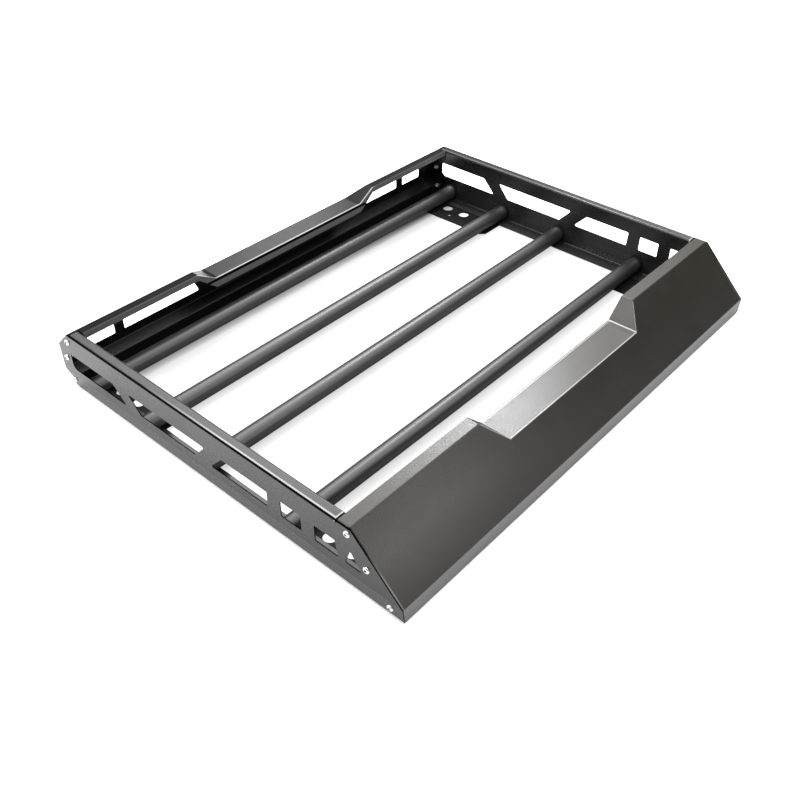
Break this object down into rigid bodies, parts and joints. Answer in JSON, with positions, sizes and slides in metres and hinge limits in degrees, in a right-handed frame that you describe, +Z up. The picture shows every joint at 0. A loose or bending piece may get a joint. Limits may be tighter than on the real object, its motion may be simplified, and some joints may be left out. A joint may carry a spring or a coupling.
{
  "type": "roof basket",
  "caption": "Flat roof basket of folded sheet with cut-out side panels, a sloping front fairing, round crossbars and corner mounting plates.",
  "frame": {"origin": "on the floor, under the middle of the basket's outer box", "axes": "+X to the front fairing, +Y along the crossbars to the left side panel, +Z up"},
  "size_m": [0.948, 1.2, 0.149],
  "materials": {
    "side_sheet": "satin black powder coat",
    "fairing_sheet": "satin black powder coat",
    "rear_sheet": "satin black powder coat",
    "bar_tube": "satin black powder coat",
    "plug": "matt black",
    "plate": "satin black powder coat"
  },
  "bodies": {
    "root": {"side_panel_left": "side_sheet", "side_panel_right": "side_sheet", "front_fairing": "fairing_sheet", "rear_panel": "rear_sheet", "rear_end_left": "rear_sheet", "rear_end_right": "rear_sheet", "crossbar_1": "bar_tube", "crossbar_2": "bar_tube", "crossbar_3": "bar_tube", "crossbar_4": "bar_tube", "end_plug_left_1": "plug", "end_plug_left_2": "plug", "end_plug_left_3": "plug", "end_plug_left_4": "plug", "end_plug_right_1": "plug", "end_plug_right_2": "plug", "end_plug_right_3": "plug", "end_plug_right_4": "plug", "mount_plate_rear_left": "plate", "mount_plate_rear_right": "plate", "mount_plate_front_left": "plate", "mount_plate_front_right": "plate"}
  },
  "joints": []
}
